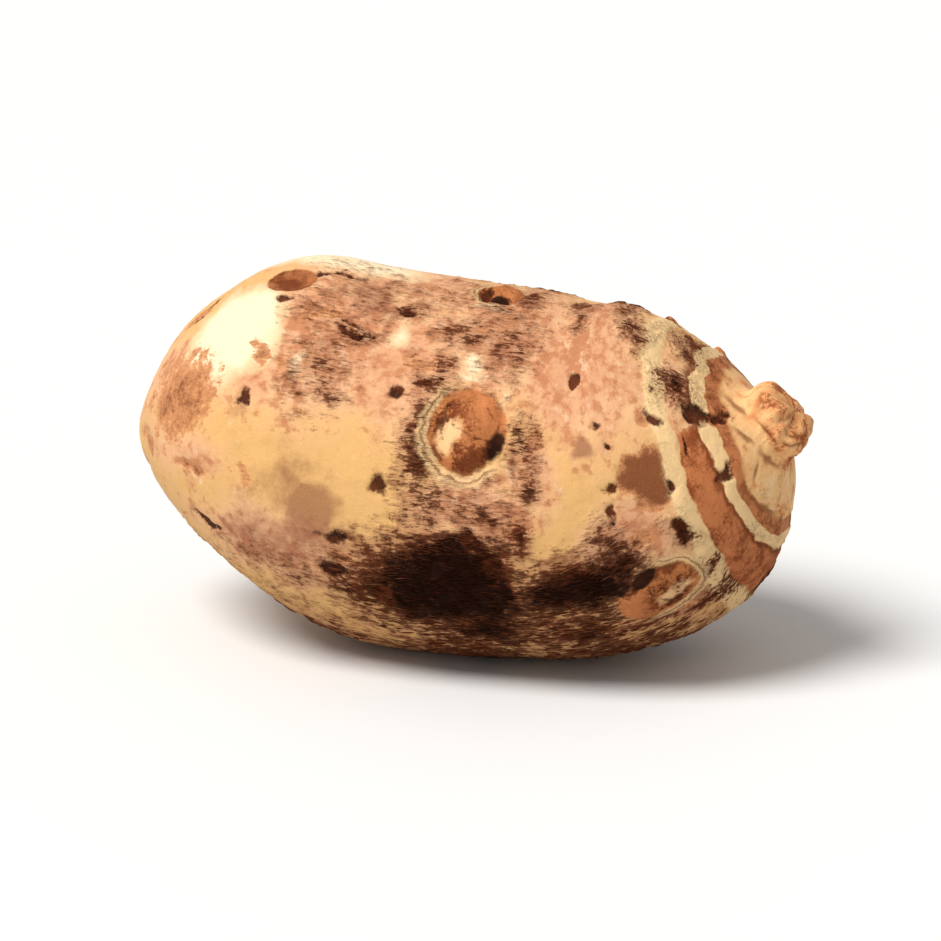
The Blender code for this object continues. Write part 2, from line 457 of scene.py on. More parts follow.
# %% Bark: station, bearing, half length, half width, strength
BARK = [
    (36, 20, 8, 5.5, 0.66), (33, 46, 5, 6, 0.88), (36.5, 55, 2.4, 1.2, 1.05), (36.8, 32, 4, 1.6, 1),
    (44, 20, 3.5, 2.2, 0.9), (40, 12, 9, 4, 0.62), (48.2, 40, 3.2, 2, 0.66), (30, 27, 4, 3.5, 0.66),
    (52, 25, 4, 2.2, 1.05), (54.5, 30, 3.2, 1.6, 1.15), (51.4, 40, 2.6, 3.4, 1), (50.3, 48, 4, 1.9, 1.1),
    (54.5, 50.5, 2.6, 1.6, 1.2), (60.7, 29, 5.2, 6.8, 0.85), (57, 15, 6, 4, 0.8), (53, 5, 6, 6, 0.8),
    (60, 2, 2.6, 5, 1), (49.9, 61, 2.5, 5, 1.2), (50.8, 69, 2.6, 4.4, 1.25), (52.8, 80, 3.8, 2.7, 1.15),
    (53.1, 88, 4.4, 3.2, 0.95), (58, 84, 4.5, 3, 0.9), (61.1, 84, 5, 2, 1), (60, 78, 7, 3, 0.62),
    (65.5, 90, 2.2, 4.2, 1.25), (66.1, 62, 2.3, 4, 1.15), (67.4, 71, 1.8, 2.6, 0.85),
    # (53, 113) and (61, 101) here, (60, 128) below, and the flap make the belly near-black: partly real
    # bark, partly painted shade of the underside.
    (67.1, 76.5, 1.5, 1.6, 1.15), (64, 80, 3, 3, 0.6), (53, 113, 12, 6.8, 1.9), (61, 101, 5, 5, 1.6),
    (71, 112, 8, 4.6, 1.75), (74.7, 111, 5.5, 4.4, 1.9), (77.2, 95.5, 2.1, 3, 1.2),
    (70.4, 1, 3, 3.4, 1.05), (72.9, 11, 1.8, 3, 1.1), (79.5, -17, 4, 4.6, 1.1), (83.5, -4, 3, 4.4, 1),
    (86.9, 8, 2.4, 3.6, 1.15), (87.6, 19, 1.4, 2.6, 1.1), (92.2, -3, 2.4, 3, 1.1), (92.7, 9, 1.3, 2, 1.05),
    (92.3, 39, 2.3, 3.4, 1.35), (85.9, 103.5, 1.6, 2.6, 1.25), (85.6, 127, 1.5, 1.9, 1.25),
    (78.3, 124, 2.4, 2.4, 1.2), (72, 132, 9, 6, 1.3), (84, 146, 5, 4, 1.15), (79, 136, 6, 3.5, 1),
    # (30, 114) is partly brown film, partly painted shade at the lower left.
    (46, 128, 7, 6, 1), (60, 128, 10, 6, 1.6), (30, 114, 10, 4, 0.72), (33, 2, 8, 3, 0.55),
]
BARK += [  # the side away from the viewer, the underside and the ends
    (56, 150, 10, 16, 1.2), (56, -172, 9, 14, 1.15), (56, -140, 9, 16, 1.15), (55, -100, 8, 14, 1.1),
    (56, -55, 8, 14, 1.1), (38, 148, 20, 9, 0.9), (72, 150, 15, 10, 1.1), (34, -150, 9, 14, 0.8),
    (55, 146, 13, 10, 1.15), (56, 178, 11, 12, 1.1), (54, -145, 8, 14, 1), (53, -105, 7, 13, 0.98),
    (58, -78, 5, 6, 1.2), (55, -40, 8, 10, 0.95), (48, -38, 5, 4, 1), (60, -22, 5, 5, 1),
    (75, 155, 6, 8, 1), (75, -165, 6, 9, 1), (76, -118, 4, 6, 1.05), (70, -66, 4, 5, 1.05),
    (82, -85, 3.5, 5, 1.1), (80, -52, 3, 4, 0.9), (36, -45, 6, 5, 0.85), (35, -78, 5, 6, 0.8),
    (34, -105, 6, 6, 0.9), (38, -150, 6, 8, 0.85), (22, -72, 4, 6, 0.85), (24, 160, 7, 8, 0.95),
    (18, -140, 5, 7, 0.9), (85, -135, 3, 5, 1.1), (86, 175, 3, 4, 1.1), (12, -50, 3, 4, 0.85),
    (6, -100, 3, 4, 0.9), (26, -30, 3, 3, 0.9), (90, -95, 2, 3, 1),
]
print("bark marks:", len(BARK))

# %% Scabs, blush, bald skin, bruises and painted shade
SCAB = [
    (11.2, 56, 6.4, 6.4, 0.92), (13.5, 63, 3, 3, 0.85), (85.4, 79.5, 2.4, 2.6, 3), (83, 79, 1.9, 1.5, 2.2),
    (81.4, 100, 2, 2, 0.95), (84, 138, 3.4, 4, 1.15), (15, 85.5, 2.8, 0.9, 1.15), (5.4, 85, 1, 1.6, 0.8),
    (87.9, 55, 0.8, 1.4, 1.15), (48.4, 40.5, 3, 1.6, 0.95), (23.5, 43, 1.2, 2, 0.9),
    (27.2, 44, 1, 1.6, 0.9), (31, 29, 3, 1.8, 0.9), (10, 14, 3.5, 1.2, 0.9), (13, 40, 2, 1.5, 0.8),
    (68, 62, 1.6, 1.6, 0.9), (66, 86, 3, 2.2, 0.95), (52, 100, 2.5, 1.5, 1), (41, 104, 2.5, 1.6, 0.75),
    (24, 83, 2, 1.6, 0.72), (10, -22, 4, 4, 1), (8, -115, 4, 5, 1.05), (3, 160, 3, 5, 1),
    (40, -22, 3, 2.4, 0.95), (66, -30, 3, 3, 1), (63, -140, 4, 4, 0.95), (88, -62, 2.2, 3.4, 1.15),
    (30, -95, 2.4, 2, 1), (20, -105, 3, 3, 1), (78, -140, 3, 3, 1), (42, 170, 3, 3, 0.95),
    (2, -80, 3.6, 3.6, 1.3),
]
BLUSH = [
    (34, 34, 13, 11, 1.1), (46, 38, 9, 10, 1), (75, 30, 12, 12, 1.15), (24, 50, 7, 5, 0.9),
    (14, 80, 6, 3.5, 0.8), (60, 82, 8, 4, 1), (68, 72, 4, 5, 0.95), (81, 97, 5, 5, 1), (60, 20, 12, 14, 1),
    (40, -40, 14, 18, 1), (70, -60, 12, 16, 1), (24, -120, 12, 14, 0.9), (70, -150, 10, 14, 0.9),
    (28, 108, 12, 6, 0.9), (42, 6, 18, 8, 0.9), (9, 40, 6, 4, 0.8), (91, 40, 4, 8, 0.8),
    (76, 8, 10, 10, 0.95),
]
BALD = [
    (18.6, 34, 6.4, 6.8, 1.45), (15.5, 42, 3.5, 3, 1.1), (44.2, 31, 3.2, 4.2, 0.8),
    (56.2, 38, 2.6, 2.2, 0.86), (55.9, 43.5, 2.6, 1, 0.86), (62, 48, 2.6, 2, 0.7), (55.2, 14, 3.6, 0.9, 1),
    (30, -3, 12, 5, 1.2), (20, -42, 6, 7, 1.1), (62, -102, 5, 4, 0.9), (78, -36, 4, 5, 0.9),
    (44, -88, 4, 4, 0.9), (30, 44.5, 1.2, 2.2, 0.9),
]
BRUISE_AND_SHADE_MARKS = [
    # Bruises, and painted shade: (70, 86) is only painted shade on the right of the skin, and (28, 104) is
    # partly bruising, partly painted shade at the lower left.
    (35.3, 88.5, 3.4, 2.4, 2.1), (31, 83, 6, 5, 0.95), (35, 100, 8, 4, 0.9), (76.9, 65, 2, 1.2, 1.2),
    (28, 104, 8, 5, 0.9), (50, -120, 4, 4, 0.8), (38, 18, 6, 4, 0.9), (60, 30, 4, 4, 0.7),
    (26, -60, 4, 4, 0.8), (22.5, 62, 2.4, 1.2, 0.8), (70, 86, 6, 5, 0.56),
]
print("scabs", len(SCAB), "blush", len(BLUSH), "bald", len(BALD), "bruises", len(BRUISE_AND_SHADE_MARKS))

# %% Spots
SPOTS = [
    (24, 24, 1.3, 0.7, 1.25), (10, 18, 2.4, 0.5, 1.2), (12, 11.5, 2, 0.5, 1.2), (23.6, 58.5, 1.1, 1, 1.2),
    (22, 60, 1.3, 0.5, 1.1), (28.8, 10, 1.3, 0.7, 1.1), (31.5, 9, 3, 0.4, 1), (36, 30, 2.6, 0.35, 1.1),
    (37, 32.5, 2.6, 0.35, 1.15), (44.2, 20.5, 1.6, 0.7, 1.1), (44.6, 51, 1, 0.9, 1.2),
    (53.1, 8.5, 1, 0.9, 1.3), (46, 80.5, 1.3, 1.3, 1.25), (47.5, 88.5, 0.5, 0.5, 1.1),
    (39.2, 98, 2.2, 1, 1.25), (38.4, 109.5, 2.4, 1.1, 1.25), (38.8, 117, 2.1, 0.7, 1.2),
    (45.8, 115.5, 1.5, 1.5, 1.4), (59.4, 93.5, 1.4, 1.4, 1.45), (49, 48, 2.6, 0.35, 1.1),
    (50.5, 46.3, 2, 0.35, 1.1), (79.3, 57, 0.7, 0.5, 1), (75, 39, 0.8, 0.8, 1.25), (81.1, 63, 0.5, 0.5, 1),
    (79.3, 79, 1.2, 0.6, 1.1), (78.8, 86, 0.5, 1, 1.2), (78.9, 90, 0.5, 0.7, 1.1),
    (85.9, 103, 1, 1.6, 1.1), (94.3, 55.5, 0.9, 1.2, 1.3), (89.3, 56.5, 0.6, 1.6, 1),
    (17, 109, 1.6, 0.7, 1.2), (19.5, 108.5, 1.2, 0.5, 1), (62, 100, 1.4, 1.6, 1.1),
    (87.8, 85, 0.4, 1.1, 1.1), (93, 96, 0.6, 0.9, 1.1), (91.6, 74, 0.4, 1.4, 1), (40, -70, 1.2, 1.2, 1.2),
    (64, -80, 1, 1.4, 1.2), (28, -90, 1.6, 0.7, 1.1), (16, 175, 1.4, 1.4, 1.2), (46, -160, 1.4, 1.4, 1.2),
    (68, -40, 0.8, 1.4, 1.2), (33, -30, 1.4, 0.8, 1.1), (14, -75, 1.1, 1, 1.2), (84, -110, 1, 1.5, 1.2),
    (52, -58, 0.9, 0.9, 1.1), (24, -40, 0.8, 0.8, 1.1), (76, -80, 0.9, 1, 1.1),
]
print("spots:", len(SPOTS))

# %% Paint the fields
# The flap is a dark leaf scale on the belly; its near-black is partly real bark, partly painted shade of
# the underside.
FLAP = [(56.5, 109, 10, 7.6, 2.3)]
FLAP_EDGE = (62.9, 91, 65.4, 121)  # the scale's sharp edge, from one station and bearing to another
BAND_OPENS = (52, 74)  # bearings between which the wide brown band begins


def painted(marks):
    """The strongest of the marks at every point."""
    field = np.zeros_like(station)
    for centre, side, long, wide, strength in marks:
        around = turn_between(warped_bearing, side) * body_radius / wide
        reach = np.hypot((warped_station - centre) / long, around)
        field = np.maximum(field, strength * np.clip(1 - reach / 2, 0, 1))
    return field


fields = {"scab": painted(SCAB), "blush": painted(BLUSH), "bald": painted(BALD)}
fields.update({"bruise_and_shade": painted(BRUISE_AND_SHADE_MARKS), "spots": painted(SPOTS), "fold": fold, "level": level})
fields.update(bud_fields)
fields["eye"] = eye_reach
side_turn = np.degrees(turn_between(bearing, 0))
start, start_side, end, end_side = FLAP_EDGE
edge_station = start + (side_turn - start_side) / (end_side - start_side) * (end - start)
behind_edge = risen(edge_station - station, -0.12, 0.12) * risen(side_turn, 88, 92)
fields["bark"] = np.maximum(painted(BARK), painted(FLAP) * behind_edge)
fields["band"] = np.clip(risen(side_turn, *BAND_OPENS) + risen(-side_turn, 24, 70), 0, 1)
grain = np.gradient(plain, axis=0)
grain /= np.maximum(np.linalg.norm(grain, axis=-1, keepdims=True), 1e-9)
for name, field in fields.items():
    print(name, "covers", round(100 * float((field > 0.5).mean())), "% of the grid")

# %% [markdown]
# ## The mesh
#
# The rows of points become rings of four-sided faces, closed by a point at each pole. What would dip
# under the table is lifted to it, which makes the small flat that the corm rests on. The fields go on the
# mesh as attributes, which both kinds of node tree can read.

# %% Build the mesh
def as_vertices(grid):
    """A grid's values in the order of the mesh's points: one for each pole, all for the rings."""
    return np.concatenate([grid[:1, 0], grid[1:-1].reshape(-1, *grid.shape[2:]), grid[-1:, 0]])


def corm_faces():
    """Triangles at both poles and quads between the rings."""
    last = 1 + (ROWS - 2) * SIDES
    faces = []
    for side in range(SIDES):
        after = (side + 1) % SIDES
        faces.append((0, 1 + after, 1 + side))
        faces.append((last, last - SIDES + side, last - SIDES + after))
        for row in range(ROWS - 3):
            near, far = 1 + row * SIDES, 1 + (row + 1) * SIDES
            faces.append((near + side, near + after, far + after, far + side))
    return faces


def grounded(coordinates):
    """The same points, with none under the table."""
    coordinates[:, 2] = np.maximum(coordinates[:, 2], 0)
    return coordinates


mesh = bpy.data.meshes.new("corm_surface")
mesh.from_pydata(grounded(as_vertices(points) * MM), [], corm_faces())
for name, field in fields.items():
    layer = mesh.attributes.new(name, "FLOAT", "POINT")
    layer.data.foreach_set("value", as_vertices(field).astype(np.float32))
for name, field in {"place": place, "grain": grain}.items():
    layer = mesh.attributes.new(name, "FLOAT_VECTOR", "POINT")
    layer.data.foreach_set("vector", as_vertices(field).astype(np.float32).ravel())
mesh.shade_smooth()
corm = bpy.data.objects.new("corm_surface", mesh)
bpy.context.scene.collection.objects.link(corm)
closed = bmesh.new()
closed.from_mesh(mesh)
print("triangles:", sum(len(face.vertices) - 2 for face in mesh.polygons))
print("volume, cm3, above 0 if faces point out:", round(closed.calc_volume(signed=True) * 1e6, 1))
closed.free()

# %% [markdown]
# ## Writing node trees as sums
#
# A long chain of Math nodes is hard to read. Here a `Wire` wraps one output socket, and Python's own
# signs add the Math nodes, so a formula in the script looks like the formula. `Patch.add` makes every
# other node from its type, its settings and its sockets. Both classes work for materials and for
# geometry nodes, since the two kinds of tree share these nodes.

# %% Wire and Patch
class Wire:
    """One output of a node. Arithmetic on it adds Math nodes."""

    def __init__(self, patch, socket):
        self.patch = patch
        self.socket = socket

    def math(self, operation, *values):
        return self.patch.add("ShaderNodeMath", {"operation": operation}, dict(enumerate(values)))

    def __add__(self, other):
        return self.math("ADD", self, other)

    def __sub__(self, other):
        return self.math("SUBTRACT", self, other)

    def __rsub__(self, other):
        return self.math("SUBTRACT", other, self)

    def __mul__(self, other):
        return self.math("MULTIPLY", self, other)

    def __abs__(self):
        return self.math("ABSOLUTE", self)

    __radd__ = __add__
    __rmul__ = __mul__

    def step(self, low, high):
        """0 below low, 1 above high, smooth between. With low above high it falls instead."""
        sockets = {"Value": self, "From Min": low, "From Max": high}
        return self.patch.add("ShaderNodeMapRange", {"interpolation_type": "SMOOTHSTEP"}, sockets)


class Patch:
    """A node tree that nodes are added to."""

    def __init__(self, tree):
        self.tree = tree

    def add(self, kind, settings=None, sockets=None, output=0):
        """Makes a node: its settings first, then its sockets' values and links."""
        node = self.tree.nodes.new(kind)
        for name, value in (settings or {}).items():
            setattr(node, name, value)
        for name, value in (sockets or {}).items():
            if isinstance(value, Wire):
                self.tree.links.new(value.socket, node.inputs[name])
            else:
                node.inputs[name].default_value = value
        return Wire(self, node.outputs[output])

    def read(self, name, vector=False):
        """An attribute that is stored on the mesh."""
        if self.tree.type == "GEOMETRY":
            settings = {"data_type": "FLOAT_VECTOR" if vector else "FLOAT"}
            return self.add("GeometryNodeInputNamedAttribute", settings, {"Name": name})
        return self.add("ShaderNodeAttribute", {"attribute_name": name}, output=1 if vector else 2)

    def noise(self, vector, scale, detail=3.0, roughness=0.6):
        """Smooth noise round zero, about half of it each way."""
        sockets = {"Vector": vector, "Scale": scale, "Detail": detail, "Roughness": roughness}
        return self.add("ShaderNodeTexNoise", None, sockets) - 0.5

    def stretched(self, vector, factors, shift=(0.0, 0.0, 0.0)):
        """The vector times the factors, which draws a pattern out along the small ones, then shifted."""
        sockets = {0: vector, 1: factors, 2: shift}
        return self.add("ShaderNodeVectorMath", {"operation": "MULTIPLY_ADD"}, sockets)

    def mixed(self, first, second, factor):
        """From the first colour to the second."""
        return self.add("ShaderNodeMix", {"data_type": "RGBA"}, {0: factor, 6: first, 7: second}, output=2)

    def layered(self, ground, layers):
        """Colours laid over the ground in turn. Each layer is a colour and how much of it there is."""
        for tint, share in layers:
            ground = self.mixed(ground, tint, share)
        return ground


print("Patch methods:", [name for name in vars(Patch) if name[0] != "_"])

# %% [markdown]
# ## Torn edges, shared by colour and shape
#
# Noise is added to each field before it is cut, which tears the ovals into patches with ragged
# outlines. Bark has three depths of one field: a thin brown film at its outskirts, then dashes of
# darker fibre, then near-black crust where it is thickest; on the belly that near-black is partly
# painted shade. Fibre runs lengthwise, so the noise that makes the dashes is drawn out along the corm.

# %% Masks
DASH_STRETCH = (0.30, 1.0, 1.0)


def skin_masks(patch):
    """Where each finish lies, from 0 to 1, and the noises that tear the edges."""
    where = patch.read("place", vector=True)
    torn = patch.noise(where, 0.42, 6.0, 0.65)
    dashes = patch.noise(patch.stretched(where, DASH_STRETCH), 2.1, 4.0, 0.66)
    grit = patch.noise(where, 2.4, 4.0, 0.72)
    bark_field = patch.read("bark") + torn * 1.15
    film = (bark_field + dashes * 0.9 + grit * 0.35).step(0.26, 0.66)
    fibre = (bark_field * 0.95 + dashes * 1.9 + grit * 0.5).step(0.62, 0.98)
    crust = (bark_field + dashes * 1.2 + grit * 0.3).step(1.02, 1.42)
    level_torn = patch.read("level") + torn * 0.30
    first_ring = level_torn.step(-0.08, 0.08) * level_torn.step(1.08, 0.94)
    second_ring = level_torn.step(1.94, 2.04) * level_torn.step(3.08, 2.94)
    wide_band = level_torn.step(0.98, 1.08) * level_torn.step(2.02, 1.94)
    band_open = (patch.read("band") + torn * 1.6).step(0.32, 0.62)
    narrow_band = level_torn.step(2.96, 3.08) * level_torn.step(4.25, 3.9)
    return {
        "where": where, "torn": torn, "grit": grit, "dashes": dashes,
        "film": film, "fibre": fibre, "crust": crust,
        "scab": (patch.read("scab") + torn * 1.1 + dashes * 0.6 + grit * 0.35).step(0.42, 0.58),
        "spots": (patch.read("spots") + torn * 0.9 + grit * 0.6).step(0.32, 0.72),
        "rings": first_ring + second_ring, "band": wide_band * band_open, "narrow": narrow_band,
        "crown": level_torn.step(4.0, 4.3), "level": level_torn,
    }


print("dashes are stretched", round(1 / DASH_STRETCH[0], 1), "times along the corm")

# %% [markdown]
# ## Relief
#
# Bump alone leaves a smooth outline, so the bark's thickness, its fibre ridges, the sunken spots and a
# slow swell move the real points. Geometry Nodes do it: each point goes out along its normal by a sum
# of the masks, whose heights are the tree's named inputs.

# %% Helpers for geometry trees
def geometry_tree(name, sizes):
    """A tree with a geometry in and out, and one named number input for each size."""
    tree = bpy.data.node_groups.new(name, "GeometryNodeTree")
    tree.interface.new_socket(name="Geometry", in_out="INPUT", socket_type="NodeSocketGeometry")
    tree.interface.new_socket(name="Geometry", in_out="OUTPUT", socket_type="NodeSocketGeometry")
    for label in sizes:
        tree.interface.new_socket(name=label, in_out="INPUT", socket_type="NodeSocketFloat")
    patch = Patch(tree)
    source = tree.nodes.new("NodeGroupInput")
    return patch, {socket.name: Wire(patch, socket) for socket in source.outputs if socket.name}


def finish_tree(patch, geometry, material):
    """Makes instances real, gives them their material and ends the tree."""
    real = patch.add("GeometryNodeRealizeInstances", None, {"Geometry": geometry})
    done = patch.add("GeometryNodeSetMaterial", None, {"Geometry": real, "Material": material})
    end = patch.tree.nodes.new("NodeGroupOutput")
    patch.tree.links.new(done.socket, end.inputs["Geometry"])


def made_real(holder, patch, sizes):
    """Runs the tree on an object with these sizes, and returns the result as a plain mesh."""
    modifier = holder.modifiers.new(patch.tree.name, "NODES")
    modifier.node_group = patch.tree
    for item in patch.tree.interface.items_tree:
        if item.in_out == "INPUT" and item.name in sizes:
            modifier[item.identifier] = sizes[item.name]
    graph = bpy.context.evaluated_depsgraph_get()
    result = bpy.data.meshes.new_from_object(
        holder.evaluated_get(graph), preserve_all_data_layers=True, depsgraph=graph
    )
    holder.modifiers.remove(modifier)
    return result


# %% [markdown]
# ## Skin material
#
# The ground colour drifts between yellow and peach. Pink areas, pale areas, and bruises that also carry
# painted shade on the right and at the lower left go over it, then scabs, the three depths of bark
# (near-black on the belly, partly painted shade), the rings and their brown bands, the buds with a
# painted highlight and painted shade, and last the near-black spots. Bark is rougher than bare skin.
# The bump's heights are real ones, in millimetres.

# %% Colours
def colour(red, green, blue):
    """A colour from its usual 0 to 255 values, as the linear values that a shader takes."""
    scaled = np.array([red, green, blue]) / 255
    linear = np.where(scaled <= 0.04045, scaled / 12.92, ((scaled + 0.055) / 1.055) ** 2.4)
    return (*linear.tolist(), 1.0)


YELLOW = colour(214, 168, 108)
STRAW = colour(196, 148, 88)
PEACH = colour(222, 172, 132)
PINK = colour(204, 146, 108)
TAN_SPOT = colour(176, 110, 72)
CREAM = colour(240, 218, 180)
# Brown of the bruises, also used as painted shade on the right and at the lower left.
BRUISE_AND_SHADE_BROWN = colour(134, 80, 60)
SCAB_LIGHT = colour(202, 138, 92)
SCAB_DARK = colour(104, 44, 18)
FILM_LIGHT = colour(192, 132, 96)
FILM_BROWN = colour(130, 80, 52)
FIBRE_BROWN = colour(88, 46, 26)
FIBRE_RED = colour(92, 40, 18)
CRUST_BLACK = colour(24, 6, 2)
PALE_THREAD = colour(212, 168, 134)
RING_CREAM = colour(228, 192, 140)
BAND_LIGHT = colour(186, 112, 68)
BAND_DARK = colour(136, 68, 36)
CROWN_YELLOW = colour(228, 180, 124)
STUB_ORANGE = colour(208, 130, 80)
FOLD_BROWN = colour(120, 60, 30)
FOLD_DARK = colour(70, 30, 14)
BUD_TAN = colour(180, 112, 66)
BUD_BROWN = colour(112, 56, 28)
BUD_CREAM = colour(230, 184, 132)
PALE_SKIN = colour(226, 186, 142)
SPOT_BROWN = colour(92, 42, 20)
SPOT_DARK = colour(34, 14, 7)
print("lightest", CREAM, "darkest", CRUST_BLACK)

# %% Layers of colour
def ground_colour(patch, masks, noises):
    """Bare skin: yellow and peach, blushed pink, with tan spots, bald cream, and bruises that also paint
    shade on the right and at the lower left.
    """
    torn, grit = masks["torn"], masks["grit"]
    mottle, drift, freckle = noises["mottle"], noises["drift"], noises["freckle"]
    blush, bald, bruise_and_shade = patch.read("blush"), patch.read("bald"), patch.read("bruise_and_shade")
    cream = patch.mixed(PALE_SKIN, CREAM, (bald + mottle * 0.4).step(0.55, 0.85))
    return patch.layered(YELLOW, [
        (STRAW, (drift * 1.5 + mottle * 1.2 + 0.2).step(0.0, 1.0)),
        (PEACH, (blush + drift).step(0.1, 0.7) * 0.85),
        (PINK, (blush + mottle * 1.4 + torn * 0.6).step(0.35, 0.85) * 0.8),
        (TAN_SPOT, (freckle + blush * 0.24 + mottle * 0.4).step(0.12, 0.32) * 0.7),
        (CREAM, (freckle * -1.0 + mottle * 0.6 + blush * 0.1).step(0.16, 0.36) * 0.4),
        (cream, (bald + mottle * 0.45 + torn * 0.4).step(0.44, 0.62)),
        # bruises, and painted shade on the right and at the lower left
        (BRUISE_AND_SHADE_BROWN, (bruise_and_shade + mottle * 0.9 + torn * 0.5).step(0.35, 0.95) * 0.68),
        (TAN_SPOT, (noises["grain"] + grit * 0.6 + mottle * 0.3).step(0.02, 0.3) * 0.22),
        (SCAB_LIGHT, (grit + mottle * 0.6).step(0.16, 0.34) * 0.5),
    ])


def bark_colour(patch, masks, noises, skin):
    """Three depths of bark over the skin, with pale threads between the fibres."""
    torn, dashes, mottle, hairs = masks["torn"], masks["dashes"], noises["mottle"], noises["hairs"]
    browner = (dashes * 1.6 + torn * 1.4 + mottle + 0.3).step(0.0, 0.7)
    film = patch.mixed(FILM_LIGHT, FILM_BROWN, browner)
    fibre = patch.mixed(FIBRE_BROWN, FIBRE_RED, (mottle * 3.0 + 0.4).step(0.2, 0.7))
    redder = (hairs * 1.7 + dashes * 1.2 + mottle * 0.8).step(0.12, 0.5)
    cover = (torn * 2.0 + mottle * 1.5 + patch.read("bark") * 0.6).step(-0.1, 0.9) * 0.52 + 0.28
    return patch.layered(skin, [
        (film, masks["film"] * cover),
        (PALE_THREAD, (hairs * -1.0 + dashes * -0.5).step(0.10, 0.24) * masks["film"] * 0.6),
        (fibre, masks["fibre"] * masks["film"] * 0.9),
        # near-black crust, which on the belly is partly painted shade
        (patch.mixed(CRUST_BLACK, FIBRE_RED, redder), masks["crust"] * 0.95),
    ])


def crown_colour(patch, masks, noises, skin):
    """Cream rings with brown bands between them, then the crown's yellow and orange folds."""
    torn, mottle, grit, level = masks["torn"], noises["mottle"], masks["grit"], masks["level"]
    browner = (torn * 2.6 + grit * 1.8 + mottle + 0.3).step(0.0, 0.8)
    band = patch.mixed(BAND_LIGHT, BAND_DARK, browner)
    ring = patch.mixed(RING_CREAM, STRAW, (mottle + grit * 0.5).step(0.02, 0.4) * 0.5)
    end = level.step(5.6, 6.6)
    crown = patch.layered(CROWN_YELLOW, [
        (STUB_ORANGE, (mottle * 2.2 + torn * 2.0 + 0.25).step(0.2, 0.8)),
        (CREAM, (mottle * -2.0 - torn).step(0.12, 0.6) * 0.35),
        (STUB_ORANGE, end * (torn * 2.5 + 0.5).step(0.0, 0.8) * 0.75),
        (FOLD_BROWN, (grit * 2.6 + torn * 3.0 + mottle).step(0.05, 0.45) * end * 0.75),
    ])
    return patch.layered(skin, [
        (band, masks["band"] * 0.96),
        (band, masks["narrow"] * 0.9),
        (FOLD_BROWN, level.step(1.80, 1.92) * level.step(2.06, 1.98) * 0.85),
        (ring, masks["rings"] * (1 - masks["fibre"] * masks["film"]) * 0.94),
        (crown, masks["crown"]),
        # darker along the folds: painted shade in the creases
        (FOLD_BROWN, (patch.read("fold") + torn * 0.25).step(0.3, 1.0) * 0.72),
    ])


def bud_colour(patch, masks, noises, skin):
    """Brown scales with a painted cream highlight, painted shade on one side and in the darkened creases, a
    near-black painted shadow at one edge, a pale double rim, and the sunken brown eye.
    """
    torn, mottle, grit = masks["torn"], noises["mottle"], masks["grit"]
    lean, across = patch.read("bud_lean"), patch.read("bud_across")
    reach = patch.read("bud") + torn * 0.42 + grit * 0.12
    # A painted highlight and a painted shadow on opposite sides of each bud, placed by its lean.
    highlight_lean, highlight_across = lean + 0.30, across + 0.38
    painted_highlight = highlight_lean * highlight_lean * 4.0 + highlight_across * highlight_across * 7.0 + torn * 1.6 + grit * 0.7
    shadow_lean, shadow_across = lean + 0.1, across - 0.82
    painted_shadow = shadow_lean * shadow_lean * 4.0 + shadow_across * shadow_across * 9.0 + torn * 2.0
    scales = patch.layered(BUD_TAN, [
        (BUD_BROWN, (torn * 4.2 + mottle * 1.5 + grit * 2.6 + 0.35).step(0.0, 0.8)),
        (STUB_ORANGE, (lean * 0.7 + across * 0.5 + torn * 1.8).step(0.05, 0.5) * 0.7),
        # cream painted highlight, then painted shade: brown on one side, darkened creases, and a near-black
        # painted shadow
        (BUD_CREAM, painted_highlight.step(1.0, 0.15) * 0.95),
        (BUD_BROWN, (across * 0.8 - lean * 0.7 + torn * 2.2 + grit * 0.8).step(0.4, 0.8) * 0.85),
        (FOLD_DARK, (patch.read("bud_crease") + torn * 1.6).step(0.5, 1.0) * 0.8),
        (SPOT_DARK, painted_shadow.step(0.8, 0.3) * 0.95),
    ])
    sheltered = (lean * -0.8 - across * 0.5 + torn * 1.5 + 0.2).step(-0.3, 0.5)
    eye = patch.read("eye") + torn * 0.25
    paler = (mottle * 2.0 + torn * 1.5 + eye * 0.5).step(0.1, 0.95)
    return patch.layered(skin, [
        (RING_CREAM, reach.step(1.00, 1.06) * reach.step(1.36, 1.20) * sheltered * 0.7),
        (SCAB_DARK, reach.step(1.10, 1.14) * reach.step(1.22, 1.17) * sheltered * 0.6),
        (scales, reach.step(1.06, 0.92)),
        (patch.mixed(SCAB_DARK, BUD_TAN, paler), eye.step(1.05, 0.92) * 0.96),
    ])


# %% Skin material
SKIN_SHINE = 0.06  # low, since the pale room would grey the near-black bark


def new_material(name):
    """An empty material, and the patch to wire it with."""
    material = bpy.data.materials.new(name)
    material.use_nodes = True
    return material, Patch(material.node_tree)


def finish_material(material, shine, wires):
    """Links each wire to the shader's socket of that name, and sets how much the surface shines."""
    shader = material.node_tree.nodes["Principled BSDF"]
    for name, wire in wires.items():
        material.node_tree.links.new(wire.socket, shader.inputs[name])
    shader.inputs["Specular IOR Level"].default_value = shine
    return material


